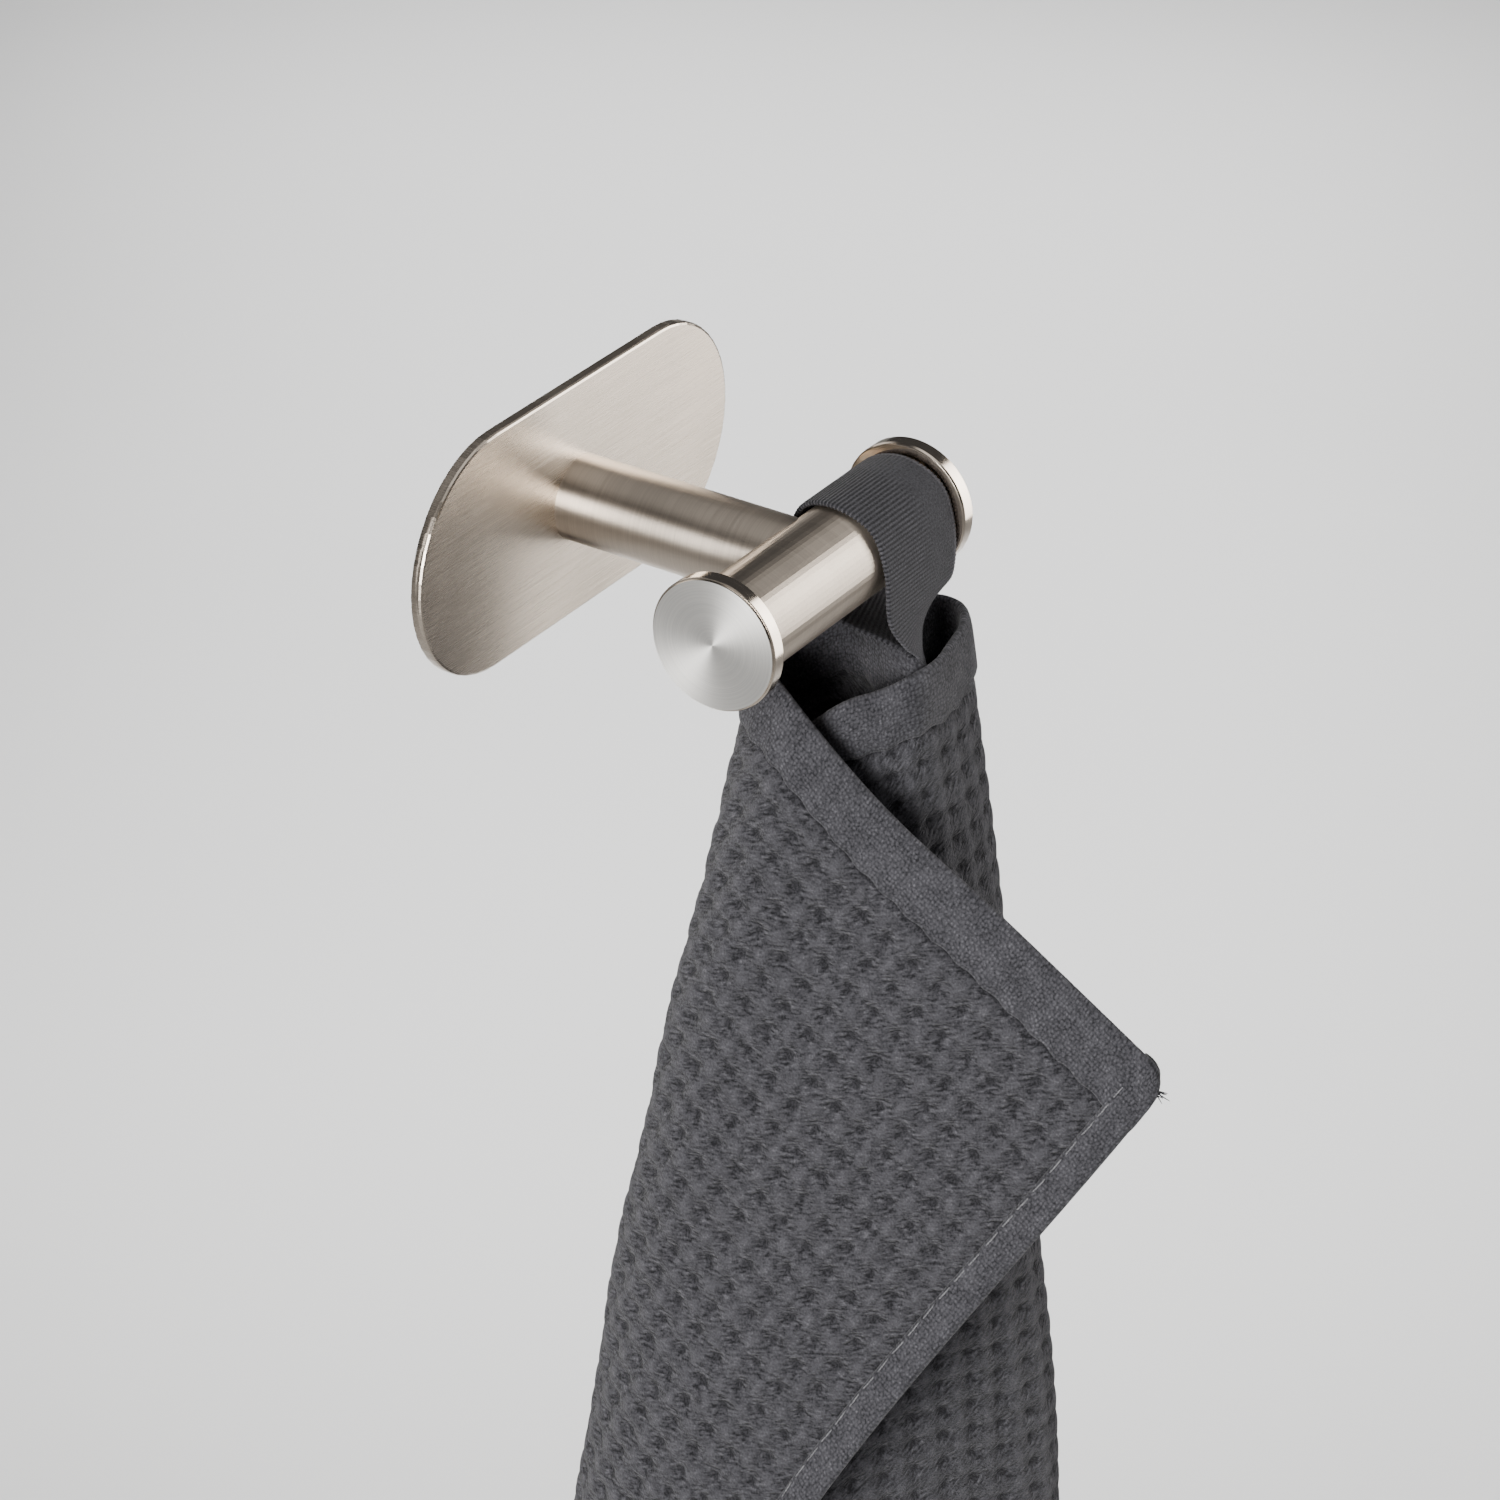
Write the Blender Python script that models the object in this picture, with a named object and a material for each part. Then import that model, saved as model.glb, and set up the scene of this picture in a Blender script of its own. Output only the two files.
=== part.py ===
"""Waffle towel hung by its tape loop from a steel hook with a crossbar.

Frame: origin at the centre of the plate's back face, which lies in the plane
y = 0.  -Y points out of the wall, +X runs along the wall to the right and +Z
is up.  All the sizes below are in millimetres; the objects are in metres.
"""

import math

import bmesh
import bpy
from mathutils import Vector

MM = 0.001

# Hook
PLATE_LONG = 94.0
PLATE_HIGH = 44.0
PLATE_THICK = 2.0
PLATE_EDGE = 0.5
POST_RADIUS = 7.7
BAR_RADIUS = 9.0
BAR_OUT = 49.7            # from the wall to the crossbar's axis
BAR_HALF = 28.7
CAP_INNER = 29.0
CAP_THICK = 3.3
SEAT_GAP = 0.3            # left between pieces that are fixed together

# Hanging loop
TAPE_THICK = 1.0

# Towel
TOWEL_WIDE = 320.0
TOWEL_LONG = 500.0
CLOTH_THICK = 1.7
TOP_HEM = 12.0
SIDE_HEM = 6.6
HEM_THICK = 2.1

# The folds stand along a line turned from the bar.  L runs along that line,
# away from the wall, and D runs across it.
FOLD_TURN = math.radians(-58.7)
L_AXIS = (math.cos(FOLD_TURN), math.sin(FOLD_TURN))
D_AXIS = (-math.sin(FOLD_TURN), math.cos(FOLD_TURN))

# One row for each fold line of the towel, in the order of the top hem.
# u is the place across the flat towel, L and D the place in plan and z the
# height.  The three groups are the top hem, the waist and the foot.
WAIST = 130.0
FOLDS = [
    # name,              u    L      D      z       u    L     D     z       u     L     D
    ("side hem",         0, 106.6, -48.0, -84.8,    0, 38.5, -50.5, -198,    0,  34.0, -47.0),
    ("flap right",      40,  77.5, -39.7, -59.4,   16, 28.5, -44.5, -186,   15,  23.5, -42.0),
    ("flap middle",     72,  53.8, -33.0, -39.2,   31, 19.0, -38.5, -175,   29,  14.0, -37.0),
    ("flap left",       97,  37.8, -27.5, -21.5,   43, 12.0, -32.0, -166,   40,   7.0, -30.0),
    ("left fold",      109,  33.3, -18.5, -19.5,   54,  9.3, -22.5, -159,   51,   4.0, -20.0),
    ("left return",    118,  37.0, -10.5, -19.0,   66, 14.0, -13.0, -155,   63,   8.5, -10.0),
    ("back left",      126,  43.5,  -7.5, -20.0,   79, 25.0,  -6.0, -152,   77,  19.0,  -2.0),
    ("back rise",      131,  47.8,  -8.3, -20.0,   91, 32.0,   4.0, -150,   91,  27.0,   8.5),
    ("back ridge",     135,  50.6, -10.2, -20.0,  103, 39.5,  13.0, -150,  103,  36.0,  17.0),
    ("back ridge end", 139,  53.0, -13.0, -20.0,  113, 49.0,  12.5, -150,  113,  46.0,  16.0),
    ("back valley",    143,  55.2, -15.3, -20.4,  126, 55.0,   1.0, -150,  126,  54.0,   4.0),
    ("loop approach",  146,  57.0, -17.8, -20.8,  137, 59.5,  -9.0, -150,  137,  60.0,  -7.0),
    ("loop near",      149,  59.6, -20.2, -21.0,  149, 67.0, -15.5, -151,  149,  70.0, -15.5),
    ("loop middle",    160,  60.4, -10.5, -21.0,  160, 72.5,  -6.0, -151,  160,  79.0,  -6.5),
    ("loop far",       171,  60.0,   0.5, -21.0,  171, 75.0,   4.5, -151,  171,  83.5,   4.0),
    ("right turn",     177,  63.6,   5.2, -20.0,  178, 80.0,   8.5, -150,  178,  88.5,   9.0),
    ("right back",     182,  67.8,   3.0, -20.0,  186, 86.5,   4.5, -150,  187,  97.0,   5.0),
    ("right fold",     189,  68.6,  -4.0, -20.0,  194, 89.0,  -3.5, -150,  196, 100.5,  -4.0),
    ("right front",    197,  66.2, -12.0, -20.0,  203, 86.0, -12.0, -150,  206,  95.5, -13.0),
    ("lip right",      204,  63.9, -18.9, -19.7,  210, 80.5, -17.0, -150,  213,  89.5, -18.5),
    ("lip kink",       210,  60.2, -24.4, -19.6,  217, 74.5, -21.0, -149,  220,  83.0, -22.0),
    ("lip middle",     217,  54.4, -25.3, -22.6,  229, 63.5, -25.5, -150,  231,  72.5, -26.0),
    ("lip left",       224,  48.4, -25.5, -24.9,  247, 46.0, -28.5, -153,  247,  56.5, -29.5),
    ("lip crease",     229,  44.3, -24.8, -28.2,  260, 33.0, -28.5, -158,  262,  41.5, -29.5),
    ("inner turn",     236,  41.3, -20.8, -34.0,  270, 24.5, -24.0, -163,  273,  32.0, -25.5),
    ("inner left",     246,  40.5, -15.5, -42.0,  277, 27.5, -18.0, -168,  280,  34.0, -19.0),
    ("inner middle",   270,  45.0, -15.0, -58.0,  290, 40.0, -18.0, -174,  293,  47.0, -18.0),
    ("inner right",    295,  49.0, -18.5, -74.0,  305, 52.5, -20.0, -180,  307,  61.0, -20.0),
    ("inner hem",      320,  54.0, -20.0, -90.0,  320, 62.0, -19.5, -186,  320,  73.0, -20.5),
]
HANG = 356.0              # height of the cloth between the waist and the foot
STEPS_BETWEEN_FOLDS = 3
ROWS_DOWN = (0, 6, 14, 30, 50, 72, 95, 120, 148, 180, 220, 270, 325, 385, 445, 485, 500)


def clear_scene():
    for old in list(bpy.data.objects):
        bpy.data.objects.remove(old, do_unlink=True)


def material(name, colour, metallic, roughness):
    made = bpy.data.materials.new(name)
    made.use_nodes = True
    shader = made.node_tree.nodes["Principled BSDF"]
    shader.inputs["Base Color"].default_value = (*colour, 1.0)
    shader.inputs["Metallic"].default_value = metallic
    shader.inputs["Roughness"].default_value = roughness
    return made


def solid(name, points, faces, finish, smooth_below=None):
    """Make one closed object from points in millimetres."""
    mesh = bpy.data.meshes.new(name)
    mesh.from_pydata([tuple(c * MM for c in p) for p in points], [], faces)
    shape = bmesh.new()
    shape.from_mesh(mesh)
    bmesh.ops.recalc_face_normals(shape, faces=shape.faces)
    if shape.calc_volume(signed=True) < 0:
        bmesh.ops.reverse_faces(shape, faces=shape.faces)
    if smooth_below is not None:
        for face in shape.faces:
            face.smooth = True
        for edge in shape.edges:
            edge.smooth = edge.calc_face_angle(0.0) < smooth_below
    shape.to_mesh(mesh)
    shape.free()
    made = bpy.data.objects.new(name, mesh)
    made.data.materials.append(finish)
    bpy.context.scene.collection.objects.link(made)
    return made


def tube_faces(rings, around, closed=False):
    """Faces of a body made of rings of points, with a cap at both ends."""
    faces = []
    for ring in range(rings - 1):
        for k in range(around):
            a = ring * around + k
            b = ring * around + (k + 1) % around
            faces.append((a, b, b + around, a + around))
    if not closed:
        faces.append(tuple(range(around)))
        last = (rings - 1) * around
        faces.append(tuple(last + k for k in reversed(range(around))))
    return faces


def wall_plate(finish):
    """Plate with round ends and a small rounding on its front edge."""
    radius = PLATE_HIGH / 2
    straight = PLATE_LONG / 2 - radius
    turns = 24
    rings = [(0.0, 0.0), (0.0, PLATE_THICK - PLATE_EDGE),
             (0.3 * PLATE_EDGE, PLATE_THICK - 0.3 * PLATE_EDGE), (PLATE_EDGE, PLATE_THICK)]
    points = []
    for inset, out in rings:
        for side in (1, -1):
            for k in range(turns + 1):
                angle = side * math.pi / 2 - math.pi * k / turns
                points.append((side * straight + (radius - inset) * math.cos(angle),
                               -out, (radius - inset) * math.sin(angle)))
    around = 2 * (turns + 1)
    return solid("wall_plate", points, tube_faces(len(rings), around), finish, math.radians(30))


def post(finish):
    """Round post, hollowed at its end to follow the crossbar."""
    around = 48
    points = []
    for end in range(2):
        for k in range(around):
            angle = 2 * math.pi * k / around
            x, z = POST_RADIUS * math.cos(angle), POST_RADIUS * math.sin(angle)
            if end == 0:
                y = -(PLATE_THICK + SEAT_GAP)
            else:
                y = -BAR_OUT + math.sqrt((BAR_RADIUS + SEAT_GAP) ** 2 - z * z)
            points.append((x, y, z))
    faces = tube_faces(2, around)
    faces.pop()
    # The hollow end is a strip across the post, in pairs at the same height.
    half = around // 2
    top = around + around // 4
    strip = [(top + k, top - k) for k in range(half + 1)]
    wrap = lambda i: around + (i - around) % around
    for (a, b), (c, d) in zip(strip, strip[1:]):
        face = []
        for corner in (wrap(a), wrap(b), wrap(d), wrap(c)):
            if corner not in face:
                face.append(corner)
        faces.append(tuple(face))
    return solid("post", points, faces, finish, math.radians(30))


def turned(name, profile, finish, around=64):
    """Body turned about the crossbar's axis from rows of (x, radius)."""
    points = []
    for x, radius in profile:
        for k in range(around):
            angle = 2 * math.pi * k / around
            points.append((x, -BAR_OUT + radius * math.cos(angle), radius * math.sin(angle)))
    return solid(name, points, tube_faces(len(profile), around), finish, math.radians(25))


# End cap from the bar outward: depth from its inner face, and radius.
CAP_PROFILE = [
    (0.0, 11.4), (0.15, 11.75), (0.5, 11.9), (2.7, 11.9), (3.1, 11.75), (3.3, 11.35),
    (3.3, 11.0), (3.1, 10.85), (3.1, 10.7), (3.3, 10.55),
]


def crossbar(finish):
    edge = 0.4
    profile = [(-BAR_HALF, BAR_RADIUS - edge), (-BAR_HALF + edge, BAR_RADIUS),
               (BAR_HALF - edge, BAR_RADIUS), (BAR_HALF, BAR_RADIUS - edge)]
    return turned("crossbar", profile, finish)


def end_cap(name, side, finish):
    profile = [(side * (CAP_INNER + depth), radius) for depth, radius in CAP_PROFILE]
    return turned(name, profile, finish)


def from_folds(along, across, height):
    return (L_AXIS[0] * along + D_AXIS[0] * across,
            L_AXIS[1] * along + D_AXIS[1] * across, height)


def curve(keys, values, at):
    """Smooth curve through values that are set at rising keys."""
    last = len(keys) - 1
    i = 0
    while i < last - 1 and at > keys[i + 1]:
        i += 1

    def slope(k):
        if k == 0:
            return (values[1] - values[0]) / (keys[1] - keys[0])
        if k == last:
            return (values[last] - values[last - 1]) / (keys[last] - keys[last - 1])
        before, after = keys[k] - keys[k - 1], keys[k + 1] - keys[k]
        return ((values[k] - values[k - 1]) / before * after
                + (values[k + 1] - values[k]) / after * before) / (before + after)

    step = keys[i + 1] - keys[i]
    t = (at - keys[i]) / step
    return ((2 * t ** 3 - 3 * t ** 2 + 1) * values[i] + (t ** 3 - 2 * t ** 2 + t) * step * slope(i)
            + (3 * t ** 2 - 2 * t ** 3) * values[i + 1] + (t ** 3 - t ** 2) * step * slope(i + 1))


def fold_lines_at(v):
    """Place across the cloth and place in space of each fold line, v down."""
    levels = (0.0, WAIST, TOWEL_LONG)
    lines = []
    for name, u0, l0, d0, z0, u1, l1, d1, z1, u2, l2, d2 in FOLDS:
        lines.append((curve(levels, (u0, u1, u2), v), curve(levels, (l0, l1, l2), v),
                      curve(levels, (d0, d1, d2), v), curve(levels, (z0, z1, z1 - HANG), v)))
    return lines


def towel_section(v, places):
    """Points across the towel at v down, for places counted in fold lines."""
    lines = fold_lines_at(v)
    u_keys = [line[0] for line in lines]
    points = []
    for place in places:
        k = min(int(place), len(lines) - 2)
        u = u_keys[k] + (place - k) * (u_keys[k + 1] - u_keys[k])
        along, across, height = (curve(u_keys, [line[n] for line in lines], u) for n in (1, 2, 3))
        points.append((u, from_folds(along, across, height)))
    return points


def towel(finish):
    """One sheet of cloth with thicker hems."""
    count = (len(FOLDS) - 1) * STEPS_BETWEEN_FOLDS + 1
    places = [k / STEPS_BETWEEN_FOLDS for k in range(count)]
    rows = [towel_section(v, places) for v in ROWS_DOWN]
    grid = [[Vector(p) for u, p in row] for row in rows]
    down, wide = len(grid), count

    def normal(i, j):
        a = grid[min(i + 1, down - 1)][j] - grid[max(i - 1, 0)][j]
        b = grid[i][min(j + 1, wide - 1)] - grid[i][max(j - 1, 0)]
        return a.cross(b).normalized()

    points = []
    for side in (1, -1):
        for i, v in enumerate(ROWS_DOWN):
            for j in range(wide):
                u = rows[i][j][0]
                hem = (v < TOP_HEM or v > TOWEL_LONG - TOP_HEM
                       or u < SIDE_HEM or u > TOWEL_WIDE - SIDE_HEM)
                half = (HEM_THICK if hem else CLOTH_THICK) / 2
                points.append(tuple(grid[i][j] + side * half * normal(i, j)))
    faces = []
    back = down * wide
    for i in range(down - 1):
        for j in range(wide - 1):
            a = i * wide + j
            faces.append((a, a + 1, a + 1 + wide, a + wide))
            faces.append((back + a, back + a + wide, back + a + 1 + wide, back + a + 1))
    rim = ([j for j in range(wide)]
           + [i * wide + wide - 1 for i in range(1, down)]
           + [(down - 1) * wide + j for j in range(wide - 2, -1, -1)]
           + [i * wide for i in range(down - 2, 0, -1)])
    for a, b in zip(rim, rim[1:] + rim[:1]):
        faces.append((a, back + a, back + b, b))
    return solid("towel", points, faces, finish, math.radians(60))


# Path of the tape, one row for each place along it: its middle (x, distance
# out of the wall, z), its width there, and how far it has turned from lying
# square on the bar to lying along the towel's hem.
LOOP_PATH = [
    # name,          x,    out,    z,    wide, turned
    ("front end",   23.4, 57.0,  -19.7, 21.4, 1.00),
    ("front low",   19.8, 59.2,  -14.6, 23.2, 0.56),
    ("front fall",  17.3, 60.4,   -9.0, 22.8, 0.08),
    ("front",       17.1, 59.85,   0.0, 22.8, 0.00),
    ("front top",   16.8, 56.85,   7.15, 23.0, 0.00),
    ("top",         16.3, 49.7,   10.05, 23.2, 0.00),
    ("back top",    17.5, 42.55,   7.15, 21.6, 0.00),
    ("back",        18.35, 39.5,   0.0, 20.4, 0.00),
    ("back fall",   18.5, 39.6,   -9.0, 20.8, 0.02),
    ("back low",    19.8, 46.8,  -13.6, 22.0, 0.42),
    ("back foot",   21.5, 54.0,  -16.9, 21.8, 0.90),
    ("back end",    22.7, 55.8,  -19.7, 21.4, 1.00),
]
TAPE_STEPS = 50


def hanging_loop(finish):
    """Tape over the bar, both ends side by side on the towel's hem."""
    last = len(LOOP_PATH) - 1
    keys = list(range(last + 1))
    columns = [[row[1], -row[2], row[3], row[4], row[5]] for row in LOOP_PATH]

    def place(at):
        return [curve(keys, [row[n] for row in columns], at) for n in range(5)]

    points = []
    rings = TAPE_STEPS + 1
    across = 4
    for r in range(rings):
        at = last * r / TAPE_STEPS
        x, y, z, width, turned_by = place(at)
        before, after = place(max(at - 0.05, 0.0)), place(min(at + 0.05, last))
        ahead = Vector(after[:3]) - Vector(before[:3])
        angle = turned_by * (math.pi / 2 + FOLD_TURN)
        wide = Vector((math.cos(angle), math.sin(angle), 0.0))
        out = ahead.cross(wide).normalized()
        steps = [width * (k / across - 0.5) for k in range(across + 1)]
        ring = [Vector((x, y, z)) + wide * step + out * TAPE_THICK / 2 for step in steps]
        ring += [Vector((x, y, z)) + wide * step - out * TAPE_THICK / 2 for step in reversed(steps)]
        points += [tuple(p) for p in ring]
    return solid("hanging_loop", points, tube_faces(rings, 2 * (across + 1)), finish, math.radians(50))


def build():
    clear_scene()
    steel = material("brushed steel", (0.62, 0.59, 0.55), 1.0, 0.32)
    spun = material("spun steel", (0.68, 0.65, 0.60), 1.0, 0.26)
    cloth = material("waffle cloth", (0.075, 0.076, 0.082), 0.0, 0.95)
    tape = material("ribbed tape", (0.065, 0.066, 0.072), 0.0, 0.9)
    wall_plate(steel)
    post(steel)
    crossbar(steel)
    end_cap("end_cap_left", -1, spun)
    end_cap("end_cap_right", 1, spun)
    hanging_loop(tape)
    towel(cloth)


build()
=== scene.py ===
"""Looks of a waffle towel hung by its tape loop from a steel hook.

The towel's surface comes from one table of fold lines, in millimetres.  It
follows the solid's, with the hidden rows behind the loop a little higher.
Everything that is built here is in metres.
"""

import math

import bmesh
import bpy
import numpy as np
from mathutils import Matrix, Vector


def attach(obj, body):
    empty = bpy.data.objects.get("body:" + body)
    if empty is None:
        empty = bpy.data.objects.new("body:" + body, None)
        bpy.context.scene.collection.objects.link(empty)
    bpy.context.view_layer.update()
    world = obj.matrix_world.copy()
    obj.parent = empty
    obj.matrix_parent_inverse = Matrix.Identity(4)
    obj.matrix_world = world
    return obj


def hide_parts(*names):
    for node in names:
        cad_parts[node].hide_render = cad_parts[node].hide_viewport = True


MM = 0.001

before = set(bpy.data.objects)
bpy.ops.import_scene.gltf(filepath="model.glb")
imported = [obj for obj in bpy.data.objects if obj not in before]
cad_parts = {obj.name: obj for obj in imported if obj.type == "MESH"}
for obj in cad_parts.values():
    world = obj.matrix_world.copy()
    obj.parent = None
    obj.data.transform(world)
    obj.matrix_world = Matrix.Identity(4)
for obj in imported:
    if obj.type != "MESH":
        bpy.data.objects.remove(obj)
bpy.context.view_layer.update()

# Flat towel
TOWEL_WIDE = 320.0
TOWEL_LONG = 500.0
TOP_HEM = 12.0
SIDE_HEM = 6.6
HEM_HALF = 1.05             # half of a hem's thickness
CELLS_ACROSS = 51
CELLS_DOWN = 79
CELL_WIDE = (TOWEL_WIDE - 2 * SIDE_HEM) / CELLS_ACROSS
CELL_LONG = (TOWEL_LONG - 2 * TOP_HEM) / CELLS_DOWN
RELIEF = 1.5                # from the bottom of a pit to the top of a ridge
RELIEF_MIDDLE = 0.62        # share of the relief below the middle of the sheet
RELIEF_FADE = 1.6           # from a hem to the full relief
PIT_SHARPNESS = 2.0         # a higher number makes smaller pits
RIDGE_DIP = 0.16            # share by which a ridge dips between its crossings
CORNER_RADIUS = 5.0

# Mesh of the waffle: steps a cell, and rows of cells with fine steps
FINE_STEPS = 5
COARSE_STEPS = 4
FINE_CELLS_DOWN = 26

# Hook
PLATE_THICK = 2.0
POST_RADIUS = 7.7
POST_RINGS = (-45.0, -24.0, -PLATE_THICK + 0.1)    # its ends and a ring between them
BAR_OUT = 49.7              # of the bar's line, from the wall
CAP_INNER = 29.0            # of a cap's seat, from the middle of the bar

# The folds stand along a line turned from the bar.  L runs along that line,
# away from the wall, and D runs across it.
FOLD_TURN = math.radians(-58.7)
L_AXIS = np.array((math.cos(FOLD_TURN), math.sin(FOLD_TURN), 0.0))
D_AXIS = np.array((-math.sin(FOLD_TURN), math.cos(FOLD_TURN), 0.0))
UP = np.array((0.0, 0.0, 1.0))

# One row for each fold line of the towel, in the order of the top hem.
# u is the place across the flat towel, L and D the place in plan and z the
# height.  The three groups are the top hem, the waist and the foot.
WAIST = 130.0
HANG = 356.0                # height of the cloth between the waist and the foot
FOLDS = [
    # name,              u    L      D      z       u    L     D     z       u     L     D
    ("side hem",         0, 106.6, -48.0, -84.8,    0, 38.5, -50.5, -198,    0,  34.0, -47.0),
    ("flap right",      40,  77.5, -39.7, -59.4,   16, 28.5, -44.5, -186,   15,  23.5, -42.0),
    ("flap middle",     72,  53.8, -33.0, -39.2,   31, 19.0, -38.5, -175,   29,  14.0, -37.0),
    ("flap left",       97,  37.8, -27.5, -21.5,   43, 12.0, -32.0, -166,   40,   7.0, -30.0),
    ("left fold",      109,  33.3, -18.5, -19.5,   54,  9.3, -22.5, -159,   51,   4.0, -20.0),
    ("left return",    118,  37.0, -10.5, -19.0,   66, 14.0, -13.0, -155,   63,   8.5, -10.0),
    ("back left",      126,  43.5,  -7.5, -20.0,   79, 25.0,  -6.0, -152,   77,  19.0,  -2.0),
    ("back rise",      131,  47.8,  -8.3, -17.6,   91, 32.0,   4.0, -150,   91,  27.0,   8.5),
    ("back ridge",     135,  50.6, -10.2, -16.6,  103, 39.5,  13.0, -150,  103,  36.0,  17.0),
    ("back ridge end", 139,  53.0, -13.0, -17.0,  113, 49.0,  12.5, -150,  113,  46.0,  16.0),
    ("back valley",    143,  55.2, -15.3, -18.0,  126, 55.0,   1.0, -150,  126,  54.0,   4.0),
    ("loop approach",  146,  57.0, -17.8, -18.2,  137, 59.5,  -9.0, -150,  137,  60.0,  -7.0),
    ("loop near",      149,  59.6, -20.2, -18.8,  149, 67.0, -15.5, -151,  149,  70.0, -15.5),
    ("loop middle",    160,  60.4, -10.5, -21.0,  160, 72.5,  -6.0, -151,  160,  79.0,  -6.5),
    ("loop far",       171,  60.0,   0.5, -21.0,  171, 75.0,   4.5, -151,  171,  83.5,   4.0),
    ("right turn",     177,  63.6,   5.2, -20.0,  178, 80.0,   8.5, -150,  178,  88.5,   9.0),
    ("right back",     182,  67.8,   3.0, -20.0,  186, 86.5,   4.5, -150,  187,  97.0,   5.0),
    ("right fold",     189,  68.6,  -4.0, -20.0,  194, 89.0,  -3.5, -150,  196, 100.5,  -4.0),
    ("right front",    197,  66.2, -12.0, -20.0,  203, 86.0, -12.0, -150,  206,  95.5, -13.0),
    ("lip right",      204,  63.9, -18.9, -19.7,  210, 80.5, -17.0, -150,  213,  89.5, -18.5),
    ("lip kink",       210,  60.2, -24.4, -19.6,  217, 74.5, -21.0, -149,  220,  83.0, -22.0),
    ("lip middle",     217,  54.4, -25.3, -22.6,  229, 63.5, -25.5, -150,  231,  72.5, -26.0),
    ("lip left",       224,  48.4, -25.5, -24.9,  247, 46.0, -28.5, -153,  247,  56.5, -29.5),
    ("lip crease",     229,  44.3, -24.8, -28.2,  260, 33.0, -28.5, -158,  262,  41.5, -29.5),
    ("inner turn",     236,  41.3, -20.8, -34.0,  270, 24.5, -24.0, -163,  273,  32.0, -25.5),
    ("inner left",     246,  40.5, -15.5, -42.0,  277, 27.5, -18.0, -168,  280,  34.0, -19.0),
    ("inner middle",   270,  45.0, -15.0, -58.0,  290, 40.0, -18.0, -174,  293,  47.0, -18.0),
    ("inner right",    295,  49.0, -18.5, -74.0,  305, 52.5, -20.0, -180,  307,  61.0, -20.0),
    ("inner hem",      320,  54.0, -20.0, -90.0,  320, 62.0, -19.5, -186,  320,  73.0, -20.5),
]

# Places that are averaged to round the folds, as a shift across and a weight
FOLD_SPREAD = ((-1.6, 0.25), (0.0, 0.5), (1.6, 0.25))
SIDE_FADE = 3.0             # from the towel's side to the full averaging

# Slow waves that keep the panels from being ruled surfaces, as their height,
# their lengths across and down over 2 pi, and their phase
SAG = ((0.55, 7.6, 31.0, 1.3), (0.35, 4.9, -23.0, 0.4))
SAG_FADE = 90.0             # from the top hem to the full waves

# Path of the tape, one row for each place along it: its middle (x, distance
# out of the wall, z), its width there, and how far it has turned from lying
# square on the bar to lying along the towel's hem.
TAPE_THICK = 1.0
TAPE_WIDE = 23.0
TAPE_STEPS = 561
LOOP_PATH = [
    # name,          x,    out,    z,    wide, turned
    ("front sewn",  23.3, 56.9,  -26.0, 21.0, 1.00),
    ("front end",   23.4, 57.0,  -19.7, 21.4, 1.00),
    ("front low",   19.8, 59.2,  -14.6, 23.2, 0.56),
    ("front fall",  17.3, 60.4,   -9.0, 22.8, 0.08),
    ("front",       17.1, 59.85,   0.0, 22.8, 0.00),
    ("front top",   16.8, 56.85,   7.15, 23.0, 0.00),
    ("top",         16.3, 49.7,   10.05, 23.2, 0.00),
    ("back top",    17.5, 42.55,   7.15, 21.6, 0.00),
    ("back",        18.35, 39.5,   0.0, 20.4, 0.00),
    ("back fall",   18.5, 39.6,   -9.0, 20.8, 0.02),
    ("back low",    19.8, 46.8,  -13.6, 22.0, 0.42),
    ("back foot",   21.5, 54.0,  -16.9, 21.8, 0.90),
    ("back end",    22.7, 55.8,  -19.7, 21.4, 1.00),
    ("back sewn",   22.8, 55.9,  -26.0, 21.0, 1.00),
]

# Camera, in millimetres and degrees
EYE = (-668.306, -444.630, 404.461)
LENS = 125.25
SENSOR = 36.0
AZIMUTH = math.radians(-58.675)
ELEVATION = math.radians(29.511)
ROLL = math.radians(1.864)

FLOOR_Z = -620.0
FLOOR_REACH = 60.0          # in metres, as is the camera's furthest sight
SIGHT = 20.0


def curve(keys, values, at):
    """Smooth curve through values (one row a key) that are set at rising keys."""
    keys = np.asarray(keys, float)
    values = np.asarray(values, float)
    values = values.reshape(len(keys), -1)
    steps = np.diff(keys)[:, None]
    rises = np.diff(values, axis=0) / steps
    slopes = np.empty_like(values)
    slopes[0], slopes[-1] = rises[0], rises[-1]
    slopes[1:-1] = (rises[:-1] * steps[1:] + rises[1:] * steps[:-1]) / (steps[:-1] + steps[1:])
    at = np.atleast_1d(np.asarray(at, float))
    i = np.clip(np.searchsorted(keys, at, side="right") - 1, 0, len(keys) - 2)
    step = steps[i]
    t = (at - keys[i])[:, None] / step
    return ((2 * t ** 3 - 3 * t ** 2 + 1) * values[i]
            + (t ** 3 - 2 * t ** 2 + t) * step * slopes[i]
            + (3 * t ** 2 - 2 * t ** 3) * values[i + 1]
            + (t ** 3 - t ** 2) * step * slopes[i + 1])


def fold_lines_at(v):
    """Rows of u, L, D and z of every fold line, v down the towel."""
    table = np.array([row[1:] for row in FOLDS], float)
    top, waist = table[:, 0:4], table[:, 4:8]
    foot = np.column_stack([table[:, 8:11], table[:, 7] - HANG])
    stack = np.stack([top, waist, foot]).reshape(3, -1)
    return curve((0.0, WAIST, TOWEL_LONG), stack, v).reshape(len(FOLDS), 4)


def sag(us, v):
    """Height of the slow waves at places us across and v down."""
    waves = [high * np.sin(us / across + v / down + phase) for high, across, down, phase in SAG]
    return min(1.0, v / SAG_FADE) * sum(waves)


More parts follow.
